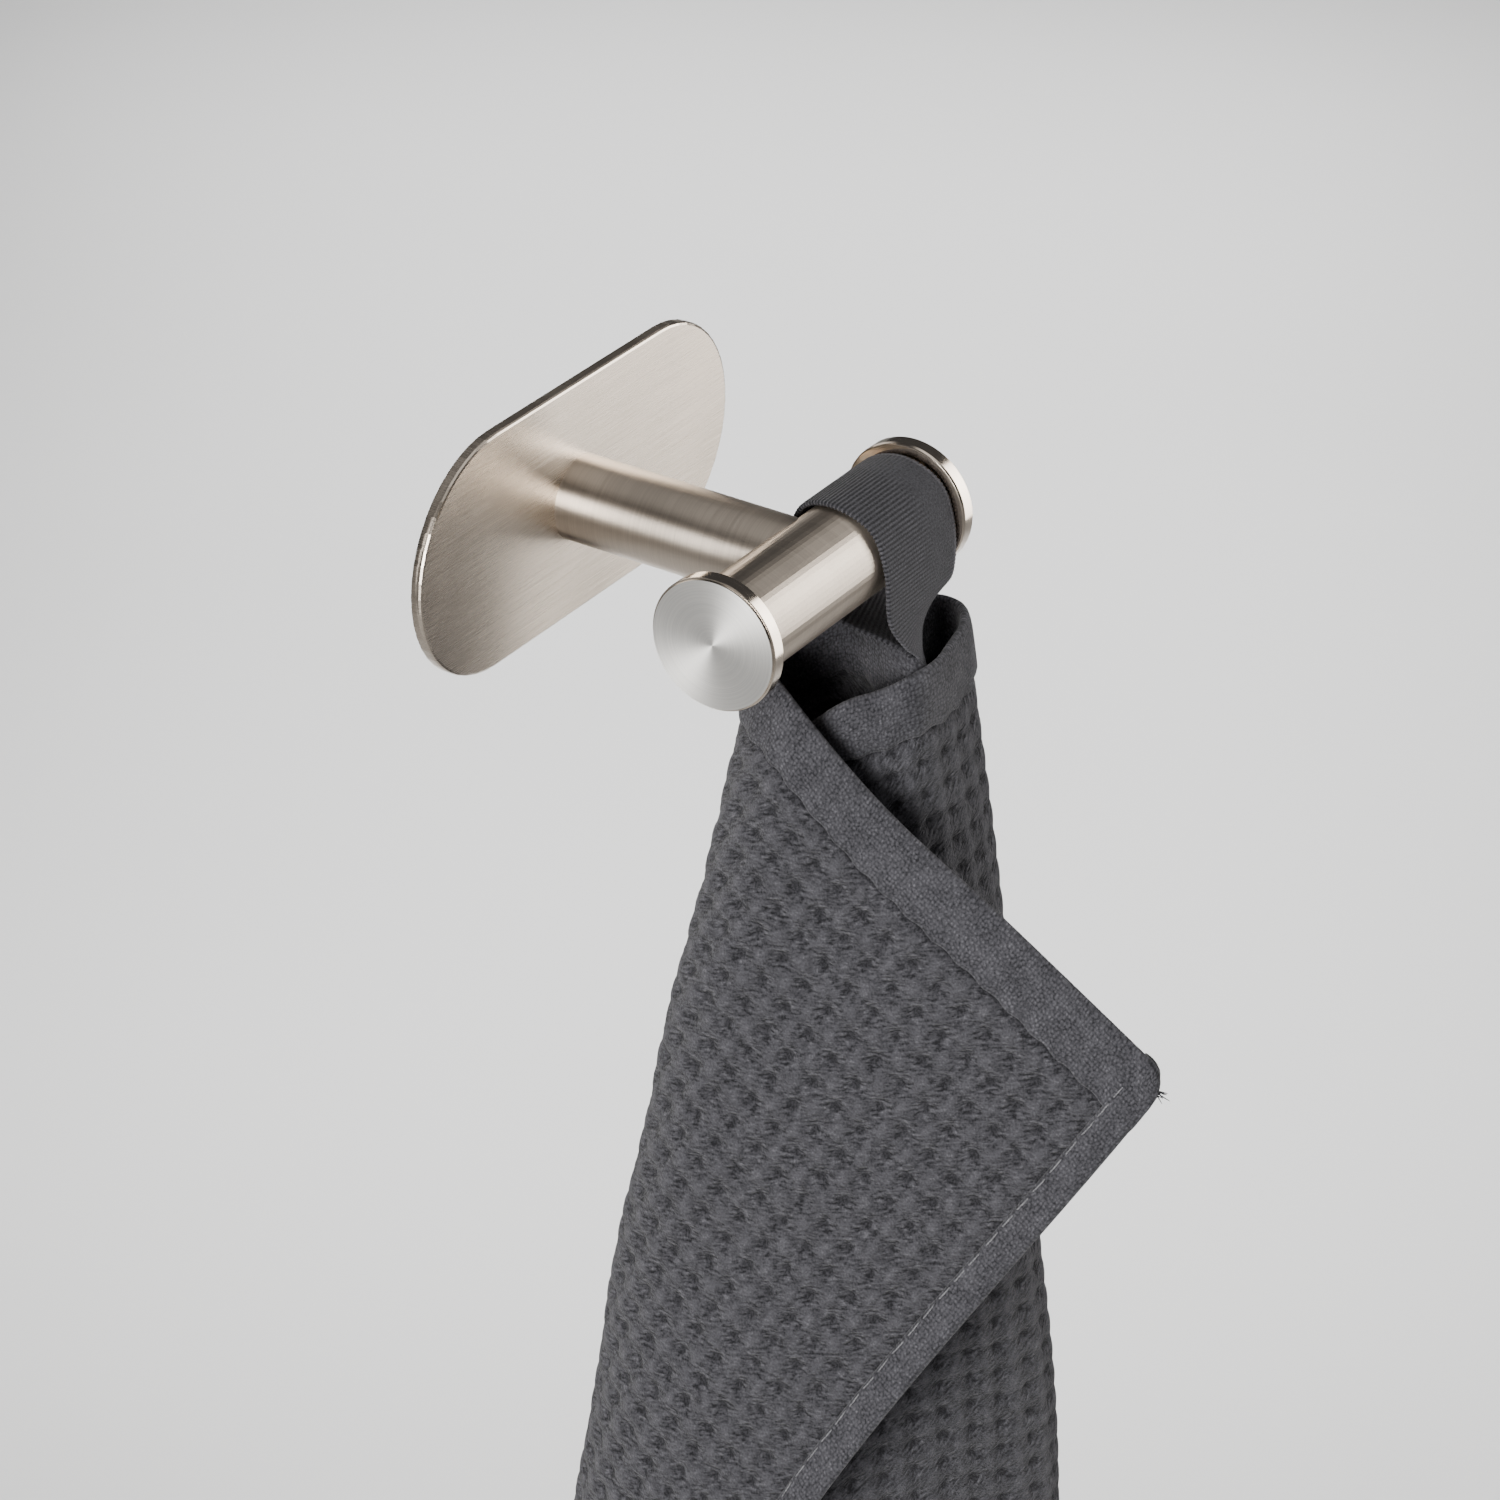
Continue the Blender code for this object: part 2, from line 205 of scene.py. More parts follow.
def cloth(us, v):
    """Middle of the cloth at places us across and v down, in millimetres."""
    lines = fold_lines_at(v)
    points = np.zeros((len(us), 3))
    for shift, weight in FOLD_SPREAD:
        near = np.clip(us + shift, 0.0, TOWEL_WIDE)
        points += weight * curve(lines[:, 0], lines[:, 1:], near)
    # Averaging shortens the sheet at its two sides, so they keep their places.
    edge = np.clip(np.minimum(us, TOWEL_WIDE - us) / SIDE_FADE, 0.0, 1.0)[:, None]
    plain = curve(lines[:, 0], lines[:, 1:], us)
    points = edge * points + (1 - edge) * plain
    return points[:, :1] * L_AXIS + points[:, 1:2] * D_AXIS + points[:, 2:] * UP


def corner_shift(us, v):
    """How far each flat place moves to round the towel's square corners."""
    from_side = np.minimum(us, TOWEL_WIDE - us)
    from_end = min(v, TOWEL_LONG - v)
    a = np.clip(CORNER_RADIUS - from_side, 0.0, None)
    b = np.full_like(a, max(0.0, CORNER_RADIUS - from_end))
    keep = np.maximum(a, b) / np.maximum(np.hypot(a, b), 1e-6)
    side = np.where(us < TOWEL_WIDE / 2, 1.0, -1.0)
    end = 1.0 if v < TOWEL_LONG / 2 else -1.0
    return side * a * (1 - keep), end * b * (1 - keep)


def cloth_and_normal(us, v):
    """Places on the waved cloth and its outward normals, in millimetres."""
    reach = 0.7
    low = np.clip(us - reach, 0, TOWEL_WIDE)
    high = np.clip(us + reach, 0, TOWEL_WIDE)
    across = (cloth(high, v) - cloth(low, v)) / (high - low)[:, None]
    down = (cloth(us, v + reach) - cloth(us, v - reach)) / (2 * reach)
    normal = np.cross(across, down)
    normal /= np.linalg.norm(normal, axis=1)[:, None]
    shift_u, shift_v = corner_shift(us, v)
    place = cloth(us, v) + shift_u[:, None] * across + shift_v[:, None] * down
    return place + sag(us, v)[:, None] * normal, normal


def cell_wave(us):
    """Cosine across the towel that is 1 at each row of pits."""
    return np.cos(2 * math.pi * (us - SIDE_HEM) / CELL_WIDE)


def waffle(us, v):
    """Height of the waffle, from 0 in a pit to 1 where two ridges cross."""
    pit_u = (0.5 + 0.5 * cell_wave(us)) ** PIT_SHARPNESS
    pit_v = (0.5 + 0.5 * np.cos(2 * math.pi * (v - TOP_HEM) / CELL_LONG)) ** PIT_SHARPNESS
    one_only = pit_u * (1 - pit_v) + pit_v * (1 - pit_u)
    return 1 - pit_u * pit_v - RIDGE_DIP * one_only


def grid_object(name, points, uvs, closed_around=False, caps=False):
    """Mesh from a grid of points in millimetres, with flat places as its UVs."""
    rows, wide = points.shape[:2]
    index = np.arange(rows * wide).reshape(rows, wide)
    if closed_around:
        index = np.column_stack([index, index[:, 0]])
    quads = np.stack([index[:-1, :-1], index[:-1, 1:], index[1:, 1:], index[1:, :-1]], axis=-1)
    faces = [tuple(q) for q in quads.reshape(-1, 4).tolist()]
    if caps:
        faces.append(tuple(index[0, :wide].tolist()))
        faces.append(tuple(index[-1, :wide][::-1].tolist()))
    mesh = bpy.data.meshes.new(name)
    mesh.from_pydata((points.reshape(-1, 3) * MM).tolist(), [], faces)
    layer = mesh.uv_layers.new(name="flat")
    corners = np.empty(len(mesh.loops), int)
    mesh.loops.foreach_get("vertex_index", corners)
    layer.data.foreach_set("uv", (uvs.reshape(-1, 2) * MM)[corners].ravel())
    if caps:
        shell = bmesh.new()
        shell.from_mesh(mesh)
        bmesh.ops.recalc_face_normals(shell, faces=shell.faces)
        shell.to_mesh(mesh)
        shell.free()
    mesh.shade_smooth()
    made = bpy.data.objects.new(name, mesh)
    bpy.context.scene.collection.objects.link(made)
    return made


# Places of the sheet under the side hems and the end hems, in from the edge
UNDER_SIDE_HEM = np.array((1.0, 3.8))
UNDER_END_HEM = np.array((1.0, 6.0))

# Crease beside a hem: depth, how it varies with the cells, reach under the hem
CREASE_DEPTH = 0.45
CREASE_VARIES = 0.35
CREASE_UNDER = 0.5


def towel_field():
    """The waffle cloth between its hems, as one sheet with real relief."""
    inner = np.arange(0, CELLS_ACROSS * FINE_STEPS + 1) / FINE_STEPS * CELL_WIDE + SIDE_HEM
    us = np.concatenate([UNDER_SIDE_HEM, inner, TOWEL_WIDE - UNDER_SIDE_HEM[::-1]])
    upper = np.arange(0, FINE_CELLS_DOWN * FINE_STEPS) / FINE_STEPS * CELL_LONG + TOP_HEM
    coarse = np.arange(0, (CELLS_DOWN - FINE_CELLS_DOWN) * COARSE_STEPS + 1) / COARSE_STEPS
    lower = (coarse + FINE_CELLS_DOWN) * CELL_LONG + TOP_HEM
    vs = np.concatenate([UNDER_END_HEM, upper, lower, TOWEL_LONG - UNDER_END_HEM[::-1]])
    points = np.empty((len(vs), len(us), 3))
    for i, v in enumerate(vs):
        points[i], normal = cloth_and_normal(us, v)
        height = (waffle(us, v) - RELIEF_MIDDLE) * RELIEF
        inside = np.minimum(np.minimum(us - SIDE_HEM, TOWEL_WIDE - SIDE_HEM - us),
                            min(v - TOP_HEM, TOWEL_LONG - TOP_HEM - v))
        grown = np.clip(inside / RELIEF_FADE, 0.0, 1.0)
        crease = CREASE_DEPTH - CREASE_VARIES * cell_wave(us)
        height = grown * height - (1 - grown) * np.where(inside < -CREASE_UNDER, 0.0, crease)
        points[i] += height[:, None] * normal
    flat = np.stack(np.meshgrid(us, vs), axis=-1)
    return grid_object("towel_cloth", points, flat)


# Half of a hem's section: place in from the edge and height off the middle,
# as shares of the hem's width and half thickness.
HEM_SECTION = [
    (1.0, 0.2), (0.985, 0.55), (0.95, 0.8), (0.86, 0.97), (0.7, 1.1), (0.5, 1.18), (0.3, 1.16),
    (0.16, 1.05), (0.07, 0.85), (0.02, 0.55), (-0.005, 0.2),
]
END_HEM_STEPS = 361
SIDE_HEM_STEPS = 421

# An end hem is thinner at its seam, and puckers there with the cells: from
# which share of its width on, by which share of its thickness, and how far.
SEAM_FROM = 0.9
SEAM_THICK = 0.8
PUCKER_FROM = 0.6
PUCKER_THICK = 0.7
PUCKER_FAR = 0.55
CORNER_THICK = 1.25         # of a side hem where it lies on an end hem


def hem_section(width):
    """The whole section of a hem: places in from the edge and off the middle."""
    half = [(a * width, b * HEM_HALF) for a, b in HEM_SECTION]
    return half + [(a, -b) for a, b in reversed(half)]


def end_hem(name, at_top):
    """Hem along the top or the bottom of the towel."""
    us = np.linspace(0.0, TOWEL_WIDE, END_HEM_STEPS)
    section = hem_section(TOP_HEM)
    far = PUCKER_FAR if at_top else -PUCKER_FAR
    points = np.empty((len(us), len(section), 3))
    flat = np.empty((len(us), len(section), 2))
    for k, (inward, off) in enumerate(section):
        if inward > SEAM_FROM * TOP_HEM:
            off = off * SEAM_THICK
        v = inward if at_top else TOWEL_LONG - inward
        places, normal = cloth_and_normal(us, v)
        pucker = cell_wave(us) * np.clip(inward / TOP_HEM - PUCKER_FROM, 0, None)
        down = cloth(us, v + 0.5) - cloth(us, v - 0.5)
        points[:, k] = places + off * (1 + PUCKER_THICK * pucker)[:, None] * normal
        points[:, k] += far * pucker[:, None] * down
        flat[:, k, 0], flat[:, k, 1] = us, v
    return grid_object(name, points, flat, closed_around=True, caps=True)


def side_hem(name, at_left):
    """Hem down one side of the towel, on top of the end hems."""
    vs = np.linspace(0.0, TOWEL_LONG, SIDE_HEM_STEPS)
    section = hem_section(SIDE_HEM)
    us = np.array([inward if at_left else TOWEL_WIDE - inward for inward, off in section])
    offs = np.array([off for inward, off in section])
    points = np.empty((len(vs), len(section), 3))
    flat = np.empty((len(vs), len(section), 2))
    for i, v in enumerate(vs):
        places, normal = cloth_and_normal(us, v)
        over = CORNER_THICK if min(v, TOWEL_LONG - v) < TOP_HEM else 1.0
        points[i] = places + (over * offs)[:, None] * normal
        flat[i, :, 0], flat[i, :, 1] = us, v
    return grid_object(name, points, flat, closed_around=True, caps=True)


# Half of the tape's section, from its middle line to its edge: the place as a
# share of its width and half the thickness there as a share of its thickness
TAPE_SECTION = np.array([
    (0.0, 0.45), (0.15, 0.45), (0.3, 0.45), (0.4, 0.45), (0.45, 0.45),
    (0.465, 0.42), (0.485, 0.42), (0.5, 0.2),
])
RIB_PITCH = 0.78
RIB_HIGH = 0.06
EDGE_LOOPS = 0.012          # share of the width by which a rib stands out at the edge


def tape():
    """Ribbed tape over the bar, closed, with looped edges, and its length."""
    last = len(LOOP_PATH) - 1
    keys = np.arange(last + 1)
    columns = np.array([[row[1], -row[2], row[3], row[4], row[5]] for row in LOOP_PATH])
    at = np.linspace(0, last, TAPE_STEPS)
    found = curve(keys, columns, at)
    ahead = (curve(keys, columns[:, :3], np.clip(at + 0.05, 0, last))
             - curve(keys, columns[:, :3], np.clip(at - 0.05, 0, last)))
    angle = found[:, 4] * (math.pi / 2 + FOLD_TURN)
    wide = np.stack([np.cos(angle), np.sin(angle), 0 * angle], axis=1)
    out = np.cross(ahead, wide)
    out /= np.linalg.norm(out, axis=1)[:, None]
    steps = np.linalg.norm(np.diff(found[:, :3], axis=0), axis=1)
    along = np.concatenate([[0], np.cumsum(steps)])
    rib = np.cos(2 * math.pi * along / RIB_PITCH)
    places, halves = TAPE_SECTION.T
    across = np.concatenate([-places[:0:-1], places])
    thick = np.concatenate([halves[:0:-1], halves]) * TAPE_THICK
    ring = np.concatenate([across, across[::-1]])
    offs = np.concatenate([thick, -thick[::-1]])
    side = np.repeat((1.0, -1.0), len(across))
    lift = RIB_HIGH * rib[:, None] * side[None, :]
    loops = 1 + EDGE_LOOPS * rib[:, None] * (np.abs(ring) == places[-1])[None, :]
    place_across = ring[None, :] * found[:, 3:4] * loops
    points = (found[:, None, :3] + wide[:, None, :] * place_across[..., None]
              + out[:, None, :] * (offs[None, :] + lift)[..., None])
    flat = np.stack(np.broadcast_arrays(ring[None, :] * TAPE_WIDE, along[:, None]), axis=-1)
    return grid_object("loop_tape", points, flat, closed_around=True, caps=True), along[-1]


def rods(name, paths, radius, sides=6):
    """Thin threads as one mesh; a path is a row of points in millimetres."""
    turn = np.linspace(0, 2 * math.pi, sides, endpoint=False)
    points, faces = [], []
    for path in paths:
        path = np.asarray(path, float)
        ahead = np.gradient(path, axis=0)
        ahead /= np.linalg.norm(ahead, axis=1)[:, None]
        side = np.cross(ahead, UP + 0.3 * L_AXIS)
        side /= np.linalg.norm(side, axis=1)[:, None]
        other = np.cross(ahead, side)
        taper = np.full(len(path), radius)
        taper[[0, -1]] *= 0.5
        first = len(points)
        for k in range(len(path)):
            for t in turn:
                around = math.cos(t) * side[k] + math.sin(t) * other[k]
                points.append((path[k] + taper[k] * around) * MM)
        for k in range(len(path) - 1):
            for m in range(sides):
                a, b = first + k * sides + m, first + k * sides + (m + 1) % sides
                faces.append((a, b, b + sides, a + sides))
        faces.append(tuple(range(first, first + sides))[::-1])
        faces.append(tuple(range(first + (len(path) - 1) * sides, first + len(path) * sides)))
    mesh = bpy.data.meshes.new(name)
    mesh.from_pydata([tuple(p) for p in points], [], faces)
    mesh.shade_smooth()
    made = bpy.data.objects.new(name, mesh)
    bpy.context.scene.collection.objects.link(made)
    return made


STITCH_LONG = 3.7
STITCH_PITCH = 4.6
STITCH_RADIUS = 0.17
STITCH_IN = 6.2             # of the row of stitches from the towel's side
STITCH_FROM = 6.0           # of the first stitch from the top
STITCH_TO = 8.0             # of the last stitch from the bottom
STITCH_LIFT = ((0.0, -0.3), (0.18, 0.08), (0.5, 0.2), (0.82, 0.08), (1.0, -0.3))

# How much a stitch varies: its start, its slant and how deep it is sunk
STITCH_STARTS = 0.3
STITCH_SLANTS = 0.18
STITCH_SUNK = (-0.26, 0.06)

TUFT_THREADS = 9
TUFT_RADIUS = 0.11
TUFT_LONG = (1.2, 2.4)


def side_stitches(name, u, rng):
    """Sewing that holds a side hem, as separate stitches on the outside."""
    paths = []
    v = STITCH_FROM
    while v < TOWEL_LONG - STITCH_TO:
        start = v + rng.uniform(-STITCH_STARTS, STITCH_STARTS)
        slant = rng.uniform(-STITCH_SLANTS, STITCH_SLANTS)
        sunk = rng.uniform(*STITCH_SUNK)
        path = []
        for share, lift in STITCH_LIFT:
            across = np.array([u + slant * (share - 0.5)])
            place, normal = cloth_and_normal(across, start + share * STITCH_LONG)
            path.append(place[0] + (HEM_HALF + lift + sunk) * normal[0])
        paths.append(path)
        v += STITCH_PITCH
    return rods(name, paths, STITCH_RADIUS)


def corner_threads(rng):
    """A few loose fibres where the side hem's thread ends at the corner."""
    root, normal = cloth_and_normal(np.array([0.4]), 3.2)
    paths = []
    for k in range(TUFT_THREADS):
        way = (0.55 + 0.3 * rng.uniform(-1, 1)) * L_AXIS - (0.5 + 0.4 * rng.uniform(-1, 1)) * UP
        way = way + 0.35 * rng.uniform(-1, 1) * normal[0]
        bend = 0.5 * rng.uniform(-1, 1, 3)
        start = root[0] + 0.5 * rng.uniform(-1, 1, 3)
        long = rng.uniform(*TUFT_LONG)
        paths.append([start + long * (t * way + t * t * bend) for t in (0.0, 0.3, 0.6, 1.0)])
    return rods("corner_threads", paths, TUFT_RADIUS)


SHARP_FROM = 28             # degrees between faces, from which on an edge is sharp


def turned(name, axis, profile, steps=128):
    """Round piece about the bar's line or the post's, from (along, radius)."""
    turn = np.linspace(0, 2 * math.pi, steps, endpoint=False)
    points = np.empty((len(profile), steps, 3))
    for k, (along, radius) in enumerate(profile):
        a, b = radius * np.cos(turn), radius * np.sin(turn)
        line = np.full(steps, along)
        points[k] = np.column_stack([line, a - BAR_OUT, b] if axis == "X" else [b, line, a])
    made = grid_object(name, points, points[..., :2], closed_around=True, caps=True)
    made.data.set_sharp_from_angle(angle=math.radians(SHARP_FROM))
    return made


# End cap in section, as the distance past the bar's end seat and the radius
CAP_PROFILE = [
    (-0.5, 8.6), (0.0, 8.6), (0.0, 11.3), (0.12, 11.65), (0.4, 11.88), (2.78, 11.9),
    (2.86, 11.82), (2.9, 11.66), (3.02, 11.66), (3.16, 11.62), (3.26, 11.5), (3.3, 11.3),
    (3.3, 8.0), (3.3, 4.0), (3.3, 1.2), (3.3, 0.1),
]
CAP_FACE_FROM = 3.25        # distance from which on the cap is spun, not polished


def end_cap(name, side, face, rim):
    """Cap with a spun face and a polished rim."""
    profile = [(side * (CAP_INNER + along), radius) for along, radius in CAP_PROFILE]
    made = turned(name, "X", profile)
    made.data.materials.append(rim)
    made.data.materials.append(face)
    ends = side * (CAP_INNER + CAP_FACE_FROM) * MM
    for polygon in made.data.polygons:
        polygon.material_index = int(side * polygon.center.x > side * ends)
    return made


def opaque(colour, shade=1.0):
    """A colour times a shade, and full opacity."""
    return [part * shade for part in colour] + [1.0]


class Shader:
    """A material's nodes, added one by one."""

    def __init__(self, name):
        self.material = bpy.data.materials.new(name)
        self.material.use_nodes = True
        self.tree = self.material.node_tree
        self.main = self.tree.nodes["Principled BSDF"]

    def node(self, kind, **settings):
        made = self.tree.nodes.new(kind)
        for key, value in settings.items():
            setattr(made, key, value)
        return made

    def feed(self, socket, value):
        if isinstance(value, bpy.types.NodeSocket):
            self.tree.links.new(value, socket)
        else:
            socket.default_value = value

    def math(self, operation, *values):
        made = self.node("ShaderNodeMath", operation=operation)
        for socket, value in zip(made.inputs, values):
            self.feed(socket, value)
        return made.outputs[0]

    def mix(self, factor, a, b):
        made = self.node("ShaderNodeMix", data_type="RGBA")
        for socket, value in zip((made.inputs[0], made.inputs[6], made.inputs[7]), (factor, a, b)):
            self.feed(socket, value)
        return made.outputs[2]

    def span(self, value, low, high, to_low=0.0, to_high=1.0, smooth=False):
        kind = "SMOOTHSTEP" if smooth else "LINEAR"
        made = self.node("ShaderNodeMapRange", interpolation_type=kind)
        for socket, entry in zip(made.inputs, (value, low, high, to_low, to_high)):
            self.feed(socket, entry)
        return made.outputs[0]

    def join(self, x, y, z=0.0):
        made = self.node("ShaderNodeCombineXYZ")
        for socket, value in zip(made.inputs, (x, y, z)):
            self.feed(socket, value)
        return made.outputs[0]

    def split(self, vector):
        made = self.node("ShaderNodeSeparateXYZ")
        self.feed(made.inputs[0], vector)
        return made.outputs

    def noise(self, vector, scale, detail=2.0, roughness=0.5):
        made = self.node("ShaderNodeTexNoise")
        self.feed(made.inputs["Vector"], vector)
        self.feed(made.inputs["Scale"], scale)
        self.feed(made.inputs["Detail"], detail)
        self.feed(made.inputs["Roughness"], roughness)
        return made.outputs["Fac"]

    def scaled(self, vector, scale):
        made = self.node("ShaderNodeMapping", vector_type="POINT")
        self.feed(made.inputs["Vector"], vector)
        self.feed(made.inputs["Scale"], scale)
        return made.outputs[0]

    def waves(self, value, pitch):
        """A sine from 0 to 1 that repeats every pitch."""
        wave = self.math("SINE", self.math("MULTIPLY", value, 2 * math.pi / pitch))
        return self.span(wave, -1.0, 1.0)

    def length(self, a, b):
        """Square root of the sum of two squares."""
        squares = [self.math("MULTIPLY", value, value) for value in (a, b)]
        return self.math("SQRT", self.math("ADD", *squares))

    def bump(self, height, distance):
        made = self.node("ShaderNodeBump")
        self.feed(made.inputs["Height"], height)
        self.feed(made.inputs["Distance"], distance)
        return made.outputs[0]

    def flat_place(self):
        """Place on the flat cloth in millimetres: across, along and both."""
        flat = self.node("ShaderNodeUVMap", uv_map="flat").outputs[0]
        place = self.scaled(flat, (1 / MM, 1 / MM, 1.0))
        across, along, none = self.split(place)
        return across, along, place

    def object_place(self):
        """Place on the object in millimetres."""
        place = self.node("ShaderNodeTexCoord").outputs["Object"]
        return self.scaled(place, (1 / MM, 1 / MM, 1 / MM))


# Colours of the yarn, from its darkest to its palest: the darkest also paints shade into the
# waffle's pits and creases, and the palest serves for worn yarn and also paints light onto the
# waffle's puffs
YARN = ((0.017, 0.017, 0.020), (0.092, 0.091, 0.103), (0.215, 0.212, 0.235))


def cloth_finish(shader, pattern, place, depth, shade=1.0):
    """Colour, fuzz and bump of a cotton cloth with the given yarn pattern."""
    fuzz = shader.noise(place, 2.3, 3.0, 0.65)
    slub = shader.noise(place, 0.30, 2.0)
    lit = shader.math("ADD", shader.math("MULTIPLY", pattern, 0.62),
                      shader.span(fuzz, 0.32, 0.68, -0.12, 0.42))
    dark, mid, light = (opaque(colour, shade) for colour in YARN)
    base = shader.mix(shader.span(lit, 0.05, 0.72), dark, mid)
    base = shader.mix(shader.span(lit, 0.78, 1.15, 0.0, 0.75), base, light)
    base = shader.mix(shader.span(slub, 0.35, 0.75, 0.0, 0.22), base, dark)
    shader.feed(shader.main.inputs["Base Color"], base)
    shader.feed(shader.main.inputs["Roughness"], shader.span(fuzz, 0.2, 0.8, 0.85, 0.98))
    shader.feed(shader.main.inputs["Normal"], shader.bump(lit, depth))
    shader.main.inputs["Sheen Weight"].default_value = 0.12
    shader.main.inputs["Sheen Roughness"].default_value = 0.45
    shader.main.inputs["Specular IOR Level"].default_value = 0.15
    return shader.material


def waffle_material():
    """Round puffs where two ridges cross, made paler with painted light, small pits darkened with
    painted shade, short strokes of yarn, and dashes of painted shade in the crease beside each end
    hem.
    """
    shader = Shader("waffle_cotton")
    across, along, place = shader.flat_place()
    wobble = shader.span(shader.noise(place, 0.30), 0.3, 0.7, -0.45, 0.45)
    away, near = [], []
    for value, hem, cell in ((across, SIDE_HEM, CELL_WIDE), (along, TOP_HEM, CELL_LONG)):
        moved = shader.math("ADD", shader.math("SUBTRACT", value, hem), wobble)
        away.append(shader.math("PINGPONG", moved, cell / 2))
        near.append(shader.math("SUBTRACT", cell / 2, away[-1]))
    from_pit = shader.length(*away)
    from_puff = shader.length(near[0], shader.math("MULTIPLY", near[1], 0.6))
    slant = shader.join(shader.math("MULTIPLY", shader.math("SUBTRACT", across, along), 1.35),
                        shader.math("MULTIPLY", shader.math("ADD", across, along), 0.38))
    strokes = shader.span(shader.noise(slant, 1.0, 1.0), 0.32, 0.68, -0.5, 0.5)
    strong = shader.span(from_pit, 1.6, 3.4, 1.35, 0.5)
    # Painted light: the puffs are paler towards their middles, where two ridges cross
    puffs = shader.span(from_puff, 0.3, 1.5, 0.38, 0.0, smooth=True)
    pattern = shader.math("ADD", shader.math("MULTIPLY_ADD", strokes, strong, 0.5), puffs)
    # Painted shade: the yarn's colour darkens towards the middle of each pit
    pits = shader.span(from_pit, 0.45, 1.45, 0.1, 1.0, smooth=True)
    # Painted shade: dark dashes in the crease beside the top and bottom hems, one above each
    # column of puffs, with gaps at the columns of pits
    inside = shader.math("MINIMUM", shader.math("SUBTRACT", along, TOP_HEM),
                         shader.math("SUBTRACT", TOWEL_LONG - TOP_HEM, along))
    between_shade_dashes = shader.span(away[0], 1.2, 1.8, 1.0, 0.0, smooth=True)
    crease = shader.math("MAXIMUM", shader.span(inside, 0.1, 0.9, 0.0, 1.0, smooth=True), between_shade_dashes)
    pattern = shader.math("MULTIPLY", shader.math("MULTIPLY", pattern, pits), crease)
    return cloth_finish(shader, pattern, place, 0.3 * MM)


# Distance between yarns of the hems' weave, across and along the towel
HEM_WEAVE = (0.70, 0.82)


def hem_material():
    """Tight weave with an uneven dot of yarn at each crossing."""
    shader = Shader("plain_cotton")
    across, along, place = shader.flat_place()
    crossing = shader.node("ShaderNodeTexVoronoi", voronoi_dimensions="2D")
    weave = shader.scaled(place, (1 / HEM_WEAVE[0], 1 / HEM_WEAVE[1], 1.0))
    shader.feed(crossing.inputs["Vector"], weave)
    crossing.inputs["Scale"].default_value = 1.0
    crossing.inputs["Randomness"].default_value = 0.6
    dots = shader.span(crossing.outputs["Distance"], 0.1, 0.62, 1.0, 0.0, smooth=True)
    lit, none, other = shader.split(crossing.outputs["Color"])
    dots = shader.math("MULTIPLY", dots, shader.span(lit, 0.0, 1.0, 0.55, 1.15))
    worn = shader.span(shader.noise(place, 0.22), 0.4, 0.65, 0.0, 0.3)
    pattern = shader.math("ADD", shader.math("MULTIPLY_ADD", dots, 0.70, 0.16), worn)
    return cloth_finish(shader, pattern, place, 0.16 * MM)


def tape_material():
    """Tape with fine ribs across it and a paler edge along one side."""
    shader = Shader("ribbed_cotton")
    across, along, place = shader.flat_place()
    ribs = shader.waves(along, RIB_PITCH)
    ribs = shader.mix(shader.span(across, 0.0, 6.0), ribs, opaque((0.55, 0.55, 0.55)))
    edge = shader.span(across, 10.3, 10.6, 0.0, 0.75)
    return cloth_finish(shader, shader.math("ADD", ribs, edge), place, 0.1 * MM, shade=0.84)


# Darkest and palest colour of the sewing thread
THREAD = ((0.09, 0.09, 0.10), (0.27, 0.27, 0.285))


def thread_material():
    """Twisted thread of the stitches, paler than the cloth."""
    shader = Shader("sewing_thread")
    twist = shader.noise(shader.object_place(), 4.0, 2.0)
    dark, pale = (opaque(colour) for colour in THREAD)
    base = shader.mix(shader.span(twist, 0.35, 0.65), dark, pale)
    shader.feed(shader.main.inputs["Base Color"], base)
    shader.feed(shader.main.inputs["Normal"], shader.bump(twist, 0.05 * MM))
    shader.main.inputs["Roughness"].default_value = 0.7
    return shader.material


SCRATCH_SHADE = 0.86        # of a scratch against the steel


def steel_material(name, colour, roughness, grain, depth, anisotropy, axis, quarter):
    """Stainless steel whose fine scratches come from the grain's noise.

    A highlight is drawn out along the tangent, which runs round the axis, or
    along it after a quarter turn.
    """
    shader = Shader(name)
    lines = grain(shader)
    smudge = shader.noise(shader.object_place(), 0.045, 2.0)
    shade = shader.mix(shader.span(lines, 0.3, 0.7), opaque(colour, SCRATCH_SHADE), opaque(colour))
    shader.feed(shader.main.inputs["Base Color"], shade)
    rough = shader.math("ADD", shader.span(lines, 0.3, 0.7, roughness - 0.03, roughness + 0.04),
                        shader.span(smudge, 0.3, 0.7, 0.0, 0.03))
    shader.feed(shader.main.inputs["Roughness"], rough)
    shader.feed(shader.main.inputs["Normal"], shader.bump(lines, depth * MM))
    shader.main.inputs["Metallic"].default_value = 1.0
    shader.main.inputs["Anisotropic"].default_value = anisotropy
    shader.main.inputs["Anisotropic Rotation"].default_value = quarter
    if anisotropy:
        tangent = shader.node("ShaderNodeTangent", direction_type="RADIAL", axis=axis)
        shader.feed(shader.main.inputs["Tangent"], tangent.outputs[0])
    return shader.material


def straight_grain(scale):
    """Scratches that vary by the given scale on each axis, per millimetre."""
    return lambda shader: shader.noise(shader.scaled(shader.object_place(), scale), 1.0, 4.0, 0.65)


def spun_grain(shader):
    """Rings about the bar's line."""
    x, y, z = shader.split(shader.object_place())
    y = shader.math("ADD", y, BAR_OUT)
    reach = shader.length(y, z)
    rings = shader.join(shader.math("MULTIPLY", reach, 7.0), shader.math("MULTIPLY", y, 0.05),
                        shader.math("MULTIPLY", z, 0.05))
    return shader.noise(rings, 1.0, 3.0, 0.6)


WARM = (0.74, 0.645, 0.545)
DULL = (0.64, 0.56, 0.475)
PALE = (0.88, 0.87, 0.845)

